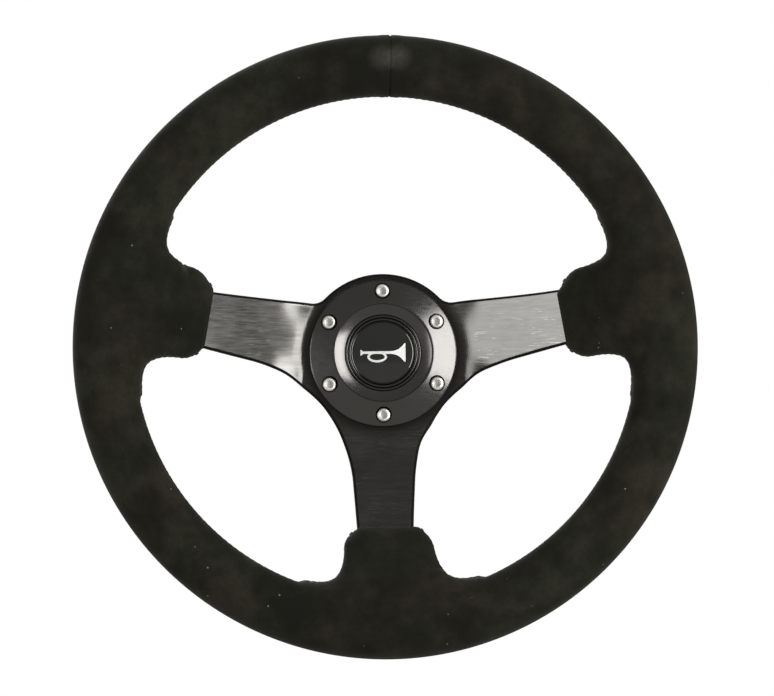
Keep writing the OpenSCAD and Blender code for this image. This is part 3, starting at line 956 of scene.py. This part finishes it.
bezel = lathe("horn_bezel", [(19.2, 48), (21.1, 48), (21.1, 56.8), (21.5, 56.8)]
              + bead(20.72, 0.8, 0.66) + [(19.85, 61.3)] + bead(18.95, 0.8, 0.62) + [(18.1, 61.3)]
              + [(17.95, 61.7), (17.7, 61.95), (17.45, 61.85), (17.35, 61.5), (17.35, 60.2),
                 (19.2, 60.2)], 192)
smooth_by_angle(bezel, 50)
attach(bezel, "wheel")
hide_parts("horn_housing")


def dome_height(r):
    """Height of the horn cap's dome, part of a sphere."""
    sphere_r = (CAP_EDGE_R ** 2 + CAP_RISE ** 2) / (2 * CAP_RISE)
    return CAP_EDGE_S + CAP_RISE - sphere_r + np.sqrt(sphere_r ** 2 - r ** 2)


dome = [(r, float(dome_height(r))) for r in np.linspace(16.6, 0, 26)]
cap = lathe("horn_button_cap", [
    (0, 60.4), (15.3, 60.4), (15.3, 58.0), (18.8, 58.0), (18.8, 60.1), (CAP_EDGE_R, 60.1),
    (CAP_EDGE_R, 61.9), (17.0, 62.15), (16.8, 62.22)] + dome, 192)
smooth_by_angle(cap, 35)
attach(cap, "horn_button")
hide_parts("horn_cap")


def flat_piece(outline, thick):
    """A thin closed flat plate with that outline."""
    p = np.array(outline, float) * SIGN_SCALE
    n = len(p)
    verts = [(x, y, -0.25) for x, y in p] + [(x, y, thick) for x, y in p]
    faces = [(i, (i + 1) % n, (i + 1) % n + n, i + n) for i in range(n)]
    faces += [tuple(range(n)), tuple(range(2 * n - 1, n - 1, -1))]
    return build("flat", verts, faces, smooth=False)


def make_pictogram():
    """A plain bugle, the common sign for a horn, lying on the cap's dome."""
    t = np.linspace(0, 1, 12)
    flare = [(2.0 + 6.4 * a, 0.55 + 3.1 * a ** 3) for a in t]
    bell = [(-8.4, 0.5)] + flare + [(8.9, 3.65), (8.9, -3.65)]
    bell += [(x, -y) for x, y in reversed(flare)] + [(-8.4, -0.5)]
    mouth = [(-9.0, 1.25), (-8.2, 0.8), (-8.2, -0.8), (-9.0, -1.25)]
    turn = np.linspace(0, 2 * math.pi, 48, endpoint=False)

    def oval(half_w, half_h):
        return [(-2.4 + half_w * math.cos(a), -1.7 + half_h * math.sin(a)) for a in turn]

    piece = flat_piece(oval(3.9, 2.2), 0.14)
    cut(piece, flat_piece(oval(3.0, 1.35), 0.5))
    cut(piece, flat_piece(bell, 0.15), "UNION")
    cut(piece, flat_piece(mouth, 0.16), "UNION")
    with editing(piece.data) as bm:
        for normal in (Vector((1, 0, 0)), Vector((0, 0, 1))):
            for d in np.arange(-13.3, 13.4, 0.95):
                slice_at(bm, bm.verts[:] + bm.edges[:] + bm.faces[:], normal, d)
        p = points_of(bm)
        p[:, 2] += dome_height(np.hypot(p[:, 0], p[:, 1]))
        move_verts(bm, p)
    piece.name = "horn_sign"
    return piece


sign = make_pictogram()
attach(sign, "horn_button")


def spring_coil(name, node, fixed):
    """A copy of a CAD spring. fixed is its still end."""
    mesh = cad_copy(node)
    with editing(mesh) as bm:
        bmesh.ops.remove_doubles(bm, verts=bm.verts, dist=1e-6)
    shade_smooth(mesh)
    coil = add_object(name, mesh)
    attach(coil, "wheel")
    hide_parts(node)
    along = coords(mesh)[:, 1]
    still = float(fixed(along))
    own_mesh(coil)
    return coil


collar_coil = spring_coil("collar_spring_coil", "collar_spring", np.min)
horn_coil = spring_coil("horn_spring_coil", "horn_spring", np.max)


# ---- Materials ----

class Shader:
    """A Principled material with a few helpers for its nodes."""

    def __init__(self, name, **values):
        self.material = bpy.data.materials.new(name)
        self.material.use_nodes = True
        self.nodes = self.material.node_tree.nodes
        self.links = self.material.node_tree.links
        self.principled = self.nodes["Principled BSDF"]
        for socket, value in values.items():
            self.principled.inputs[socket.replace("_", " ")].default_value = value
        self.coords = self.nodes.new("ShaderNodeTexCoord").outputs["Object"]

    def node(self, kind, **values):
        node = self.nodes.new("ShaderNode" + kind)
        for socket, value in values.items():
            node.inputs[socket.replace("_", " ")].default_value = value
        return node

    def link(self, a, b):
        self.links.new(a, b)

    def scaled(self, x, y, z):
        mapping = self.node("Mapping", Scale=(x, y, z))
        self.link(self.coords, mapping.inputs["Vector"])
        return mapping.outputs[0]

    def noise(self, scale, detail=2.0, roughness=0.5, vector=None):
        node = self.node("TexNoise", Scale=scale, Detail=detail, Roughness=roughness)
        self.link(vector or self.coords, node.inputs["Vector"])
        return node.outputs["Fac"]

    def ramp(self, value, stops):
        node = self.nodes.new("ShaderNodeValToRGB")
        elements = node.color_ramp.elements
        while len(elements) < len(stops):
            elements.new(0.5)
        for element, (place, colour) in zip(elements, stops):
            element.position = place
            element.color = (*colour, 1) if hasattr(colour, "__len__") else (*[colour] * 3, 1)
        self.link(value, node.inputs["Fac"])
        return node.outputs["Color"]

    def math(self, kind, a, b):
        node = self.nodes.new("ShaderNodeMath")
        node.operation = kind
        for i, v in enumerate((a, b)):
            if isinstance(v, (int, float)):
                node.inputs[i].default_value = v
            else:
                self.link(v, node.inputs[i])
        return node.outputs[0]

    def vector(self, kind, vector):
        node = self.node("VectorMath")
        node.operation = kind
        self.link(vector, node.inputs[0])
        return node

    def total(self, *terms):
        """The sum of values, each with its weight."""
        values = [self.math("MULTIPLY", value, weight) for value, weight in terms]
        result = values[0]
        for value in values[1:]:
            result = self.math("ADD", result, value)
        return result

    def mix(self, factor, a, b, kind="MIX"):
        node = self.nodes.new("ShaderNodeMix")
        node.data_type = "RGBA"
        node.blend_type = kind
        for socket, v in ((0, factor), (6, a), (7, b)):
            if hasattr(v, "links"):
                self.link(v, node.inputs[socket])
            else:
                node.inputs[socket].default_value = v
        return node.outputs[2]

    def bump(self, height, strength, distance, under=None):
        node = self.node("Bump", Strength=strength, Distance=distance)
        self.link(height, node.inputs["Height"])
        if under:
            self.link(under, node.inputs["Normal"])
        self.link(node.outputs[0], self.principled.inputs["Normal"])
        return node.outputs[0]

    def set(self, socket, value):
        self.link(value, self.principled.inputs[socket])


def suede_material():
    """Black suede: cloudy nap, painted highlight patches beside the top seam, lint specks."""
    m = Shader("suede", Sheen_Weight=0.06, Sheen_Roughness=0.45, Sheen_Tint=(0.9, 0.86, 0.78, 1),
               Specular_IOR_Level=0.15)
    broad = m.noise(16, 3, 0.6)
    patch = m.noise(60, 3, 0.6)
    grain = m.noise(420, 3, 0.7)
    nap = m.noise(2600, 2, 0.6)
    tone = m.total((broad, 0.5), (patch, 0.5))
    warm = m.ramp(tone, [(0.40, (0.0056, 0.0049, 0.0028)), (0.5, (0.0102, 0.0092, 0.0055)),
                         (0.60, (0.0172, 0.0154, 0.0098))])
    cool = m.ramp(tone, [(0.40, (0.0052, 0.0055, 0.0031)), (0.5, (0.0094, 0.0098, 0.0059)),
                         (0.60, (0.0158, 0.0162, 0.0104))])
    hue = m.noise(24, 2, 0.5, m.scaled(1, 1.3, 0.8))
    base = m.mix(m.ramp(hue, [(0.44, 0.0), (0.56, 1.0)]), warm, cool)
    # Painted highlight: the suede colour is lightened in patches beside the top seam
    for x, y in TOP_SEAM_HIGHLIGHTS:
        away = m.vector("DISTANCE", m.coords)
        away.inputs[1].default_value = tuple(row([(x, y, RIM_Z + 14)])[0])
        reach = m.math("ADD", away.outputs["Value"], m.math("MULTIPLY", patch, 0.006))
        painted_highlight = m.ramp(reach, [(0.0045, (0.75, 0.72, 0.66)), (0.0115, (0.0, 0.0, 0.0))])
        base = m.mix(1.0, base, m.mix(1.0, painted_highlight, (0.034, 0.034, 0.034, 1), "MULTIPLY"), "ADD")
    fine = m.ramp(m.total((grain, 0.5), (nap, 0.5)), [(0.35, 0.66), (0.65, 1.34)])
    base = m.mix(1.0, base, fine, "MULTIPLY")
    specks = m.node("TexVoronoi", Scale=150.0)
    m.link(m.coords, specks.inputs["Vector"])
    close = m.math("LESS_THAN", specks.outputs["Distance"], 0.07)
    split = m.nodes.new("ShaderNodeSeparateColor")
    m.link(specks.outputs["Color"], split.inputs[0])
    chosen = m.math("GREATER_THAN", split.outputs[0], 0.8)
    speck = m.math("MULTIPLY", m.math("MULTIPLY", close, chosen), split.outputs[1])
    base = m.mix(speck, base, (0.20, 0.185, 0.165, 1))
    m.set("Base Color", base)
    m.set("Roughness", m.ramp(grain, [(0.3, 0.86), (0.7, 1.0)]))
    soft = m.bump(patch, 0.25, 0.0006)
    m.bump(m.math("ADD", m.math("MULTIPLY", grain, 0.6), nap), 0.5, 0.00012, soft)
    return m.material


def brushed_material(name, base, rough, streak, scale):
    """Satin metal with fine lines. scale says how fast they change along each row axis."""
    m = Shader(name, Metallic=1.0)
    lines = m.noise(1.0, 3, 0.6, m.scaled(*scale))
    cloud = m.noise(22, 3, 0.6)
    tone = m.total((lines, 0.6), (cloud, 0.4))
    low, high = tuple(c * (1 - streak) for c in base), tuple(c * (1 + streak) for c in base)
    colour = m.ramp(tone, [(0.32, low), (0.68, high)])
    shine = m.ramp(tone, [(0.3, rough - 0.06), (0.7, rough + 0.08)])
    m.set("Base Color", colour)
    m.set("Roughness", shine)
    m.bump(lines, 0.12, 0.00008)
    return m.material


def spoke_material():
    """Black anodised plate: fine lines across the spokes, clouds, sparse scratches, and painted
    shade on the hub disc.
    """
    m = Shader("spoke_metal", Metallic=1.0)
    streaks = m.noise(1.0, 2, 0.5, m.scaled(120, 60, 1300))
    bands = m.noise(1.0, 2, 0.5, m.scaled(30, 15, 420))
    cloud = m.noise(26, 3, 0.6)
    tone = m.total((streaks, 0.4), (bands, 0.25), (cloud, 0.35))
    colour = m.ramp(tone, [(0.36, (0.070, 0.068, 0.064)), (0.50, (0.090, 0.088, 0.084)),
                           (0.64, (0.114, 0.112, 0.107))])
    thin = m.noise(1.0, 1, 0.4, m.scaled(150, 75, 2200))
    where = m.noise(38, 2, 0.5)
    scratch = m.math("MULTIPLY", m.ramp(thin, [(0.66, 0.0), (0.70, 1.0)]),
                     m.ramp(where, [(0.52, 0.0), (0.60, 0.7)]))
    colour = m.mix(scratch, colour, (0.21, 0.205, 0.19, 1))
    # Painted shade: the hub disc inside the crease gets a darker colour, standing in for its shadow
    # and dark reflection
    outward = m.vector("LENGTH", m.scaled(1, 0, 1))
    spoke = m.ramp(outward.outputs["Value"], [(0.0445, 0.0), (0.0485, 1.0)])
    m.set("Base Color", m.mix(spoke, (0.036, 0.035, 0.031, 1), colour))
    m.set("Roughness", m.ramp(tone, [(0.36, 0.17), (0.64, 0.27)]))
    m.bump(streaks, 0.10, 0.00006)
    return m.material


def moulded_material(name, base, rough, grain=700.0, depth=0.00006, **values):
    """Moulded plastic, enamel, rubber or thread: fine grain and slight mottling."""
    m = Shader(name, **values)
    fine = m.noise(grain, 3, 0.6)
    cloud = m.noise(60, 3, 0.6)
    tone = m.total((fine, 0.4), (cloud, 0.6))
    m.set("Base Color", m.ramp(tone, [(0.35, tuple(c * 0.8 for c in base)),
                                      (0.65, tuple(c * 1.2 for c in base))]))
    m.set("Roughness", m.ramp(tone, [(0.3, rough - 0.05), (0.7, rough + 0.07)]))
    m.bump(fine, 0.3, depth)
    return m.material


SPOKE = spoke_material()
ACROSS, TURNED = (9, 900, 900), (14, 1300, 14)
TRIM = brushed_material("trim_metal", (0.094, 0.091, 0.088), 0.21, 0.05, ACROSS)
BEZEL = brushed_material("bezel_black", (0.060, 0.060, 0.058), 0.24, 0.06, ACROSS)
STEEL = brushed_material("bright_steel", (0.95, 0.94, 0.91), 0.40, 0.05, TURNED)
BOLT = brushed_material("bolt_steel", (0.97, 0.96, 0.93), 0.50, 0.02, TURNED)
# Darker steel for the sockets: painted shade in the recess
SOCKET = brushed_material("socket_steel", (0.62, 0.61, 0.58), 0.40, 0.08, TURNED)
DARK_STEEL = brushed_material("dark_steel", (0.22, 0.22, 0.22), 0.35, 0.10, TURNED)
COLLAR = brushed_material("collar_metal", (0.50, 0.50, 0.51), 0.28, 0.10, TURNED)
BLACK_METAL = brushed_material("release_black", (0.10, 0.10, 0.105), 0.33, 0.10, TURNED)
BRASS = brushed_material("brass", (0.60, 0.42, 0.16), 0.30, 0.08, TURNED)
PLASTIC = moulded_material("black_plastic", (0.012, 0.012, 0.012), 0.42)
GLOSS = moulded_material("gloss_cap", (0.004, 0.004, 0.004), 0.10, 120.0, 0.00001, Coat_Weight=0.6,
                         Coat_Roughness=0.04)
WHITE = moulded_material("white_print", (0.72, 0.72, 0.70), 0.45)
# Painted shade: a near-black matte stand-in for the dark on the plate's edges and in the
# counterbores
PAINTED_SHADE = moulded_material("painted_shade", (0.004, 0.004, 0.0035), 0.6, Specular_IOR_Level=0.1)
RUBBER = moulded_material("rubber", (0.02, 0.02, 0.02), 0.7)
INSULATOR = moulded_material("insulator", (0.55, 0.50, 0.40), 0.5)
RED = moulded_material("red_wire", (0.35, 0.02, 0.015), 0.4)
BLACK = moulded_material("black_wire", (0.012, 0.012, 0.013), 0.4)
THREAD = moulded_material("thread", (0.044, 0.041, 0.037), 0.55, 1800.0, 0.00015, Sheen_Weight=0.15,
                          Sheen_Roughness=0.3)
FOAM = moulded_material("foam", (0.05, 0.048, 0.043), 0.9, 900.0, 0.0002)
SUEDE = suede_material()


def paint(obj, *materials):
    """Gives obj these materials, keeping which of its faces have the first and the second."""
    mesh = obj.data
    kinds = np.zeros(len(mesh.polygons), np.int32)
    mesh.polygons.foreach_get("material_index", kinds)
    mesh.materials.clear()
    for material in materials:
        mesh.materials.append(material)
    mesh.polygons.foreach_set("material_index", np.minimum(kinds, len(materials) - 1))


for obj, materials, slot in (
    (grip, [SUEDE], "suede"), (foam, [FOAM], "foam"), (stitches, [THREAD], "thread"),
    (plate, [SPOKE, PAINTED_SHADE], "black_aluminium"), (trim, [TRIM, PAINTED_SHADE], "trim"),
    (bolts, [BOLT, SOCKET], "bolt_steel"), (bezel, [BEZEL], "black_plastic"),
    (cap, [GLOSS], "gloss_cap"), (sign, [WHITE], "gloss_cap"),
    (collar_coil, [STEEL], "spring_steel"), (horn_coil, [STEEL], "spring_steel"),
):
    paint(obj, *materials)


def smooth_shading():
    """Nodes for a modifier that shades a piece smooth, in place of its stored normals."""
    tree = bpy.data.node_groups.new("smooth_shading", "GeometryNodeTree")
    for way in ("INPUT", "OUTPUT"):
        tree.interface.new_socket("Geometry", in_out=way, socket_type="NodeSocketGeometry")
    steps = [tree.nodes.new(kind) for kind in ("NodeGroupInput", "GeometryNodeRemoveAttribute",
                                               "GeometryNodeSetShadeSmooth", "NodeGroupOutput")]
    steps[1].inputs["Name"].default_value = "custom_normal"
    for before, after in zip(steps, steps[1:]):
        tree.links.new(before.outputs[0], after.inputs[0])
    return tree


SMOOTH = smooth_shading()
# The CAD nodes that stay: material, and how much their edges are rounded
CAD_LOOKS = {
    "spoke_rivets": (STEEL, 0.2), "rim_hoop": (DARK_STEEL, 0),
    "horn_moving_contact": (BRASS, 0.1), "horn_base": (PLASTIC, 0.2),
    "horn_terminals": (BRASS, 0.1), "horn_lead": (RED, 0), "ground_lead": (BLACK, 0),
    "contact_carrier": (INSULATOR, 0.3), "contact_pin": (BRASS, 0.15),
    "contact_pin_spring": (STEEL, 0), "contact_seat": (INSULATOR, 0.3),
    "contact_ring": (BRASS, 0.15), "release_hub": (BLACK_METAL, 0.4),
    "release_collar": (COLLAR, 0.4), "stop_washer": (DARK_STEEL, 0.2),
    "snap_ring": (DARK_STEEL, 0.2), "boss_o_ring": (RUBBER, 0), "splined_boss": (COLLAR, 0.4),
    **{f"locking_ball_{i}": (STEEL, 0) for i in range(1, 7)},
}
for name, (material, edge) in CAD_LOOKS.items():
    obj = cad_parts[name]
    obj.material_slots[0].material = material
    obj.modifiers.new("smooth_shading", "NODES").node_group = SMOOTH
    weld = obj.modifiers.new("weld", "WELD")
    weld.merge_threshold = 1e-6
    if edge:
        add_bevel(obj, edge, 3, 35).harden_normals = True


# ---- Camera, lights and stage ----

def make_camera():
    """A long lens in front of the rim, slightly to its left and below."""
    image_width = 774
    data = bpy.data.cameras.new("camera")
    data.sensor_width = 36
    data.lens = 415.7
    data.shift_x = 1.5 / image_width
    data.shift_y = -1.3 / image_width
    cam = add_object("camera", data)
    left, below, distance = math.radians(1.6), math.radians(3.9), 5.0
    target = Vector((0, -RIM_Z * MM, 0))
    level = math.cos(below)
    back = Vector((-math.sin(left) * level, -math.cos(left) * level, -math.sin(below)))
    cam.location = target + back * distance
    cam.rotation_mode = "QUATERNION"
    roll = Quaternion((0, 0, 1), math.radians(-0.6))
    cam.rotation_quaternion = (-back).to_track_quat("-Z", "Y") @ roll
    data.clip_end = 60
    scene.camera = cam


def softbox(name, direction, size, power):
    """A light of that size in metres and power in watts, which faces the wheel."""
    data = bpy.data.lights.new(name, "AREA")
    data.shape = "RECTANGLE"
    data.size, data.size_y = size
    data.energy = power
    obj = add_object(name, data)
    d = Vector(direction).normalized()
    obj.location = Vector((0, -0.08, 0)) + d * LIGHT_DISTANCE
    obj.rotation_mode = "QUATERNION"
    obj.rotation_quaternion = d.to_track_quat("Z", "Y")
    obj.visible_camera = False


def pale_surround(owner, shader, output, seen, unseen):
    """Gives a world or material one plain colour to the camera, another to all other rays."""
    owner.use_nodes = True
    tree = owner.node_tree
    tree.nodes.clear()
    out, mix, path = (tree.nodes.new("ShaderNode" + kind)
                      for kind in (output, "MixShader", "LightPath"))
    tree.links.new(path.outputs["Is Camera Ray"], mix.inputs[0])
    for socket, colour in ((1, unseen), (2, seen)):
        source = tree.nodes.new("ShaderNode" + shader)
        source.inputs["Color"].default_value = (*colour, 1)
        tree.links.new(source.outputs[0], mix.inputs[socket])
    tree.links.new(mix.outputs[0], out.inputs[0])


make_camera()
softbox("left_box", (-0.905, -0.42, -0.08), (1.0, 1.6), 23)
softbox("right_box", (0.73, -0.68, -0.03), (0.95, 2.3), 62)
softbox("back_box", (-0.35, 0.85, 0.40), (1.8, 1.8), 40)
softbox("side_box", (0.94, -0.33, -0.08), (0.5, 1.4), 0.4)

scene.world = bpy.data.worlds.new("world")
pale_surround(scene.world, "Background", "OutputWorld", (1, 1, 1), (0.36, 0.355, 0.335))
scene.view_settings.view_transform = "Standard"

floor = build("floor", [(x, -FLOOR_DROP, s) for x, s in
                        ((-FLOOR_HALF, -FLOOR_HALF), (FLOOR_HALF, -FLOOR_HALF),
                         (FLOOR_HALF, FLOOR_HALF), (-FLOOR_HALF, FLOOR_HALF))], [(0, 1, 2, 3)])
surface = bpy.data.materials.new("pale_floor")
pale_surround(surface, "Emission", "OutputMaterial", (0.78, 0.775, 0.765), (0.50, 0.49, 0.46))
floor.data.materials.append(surface)
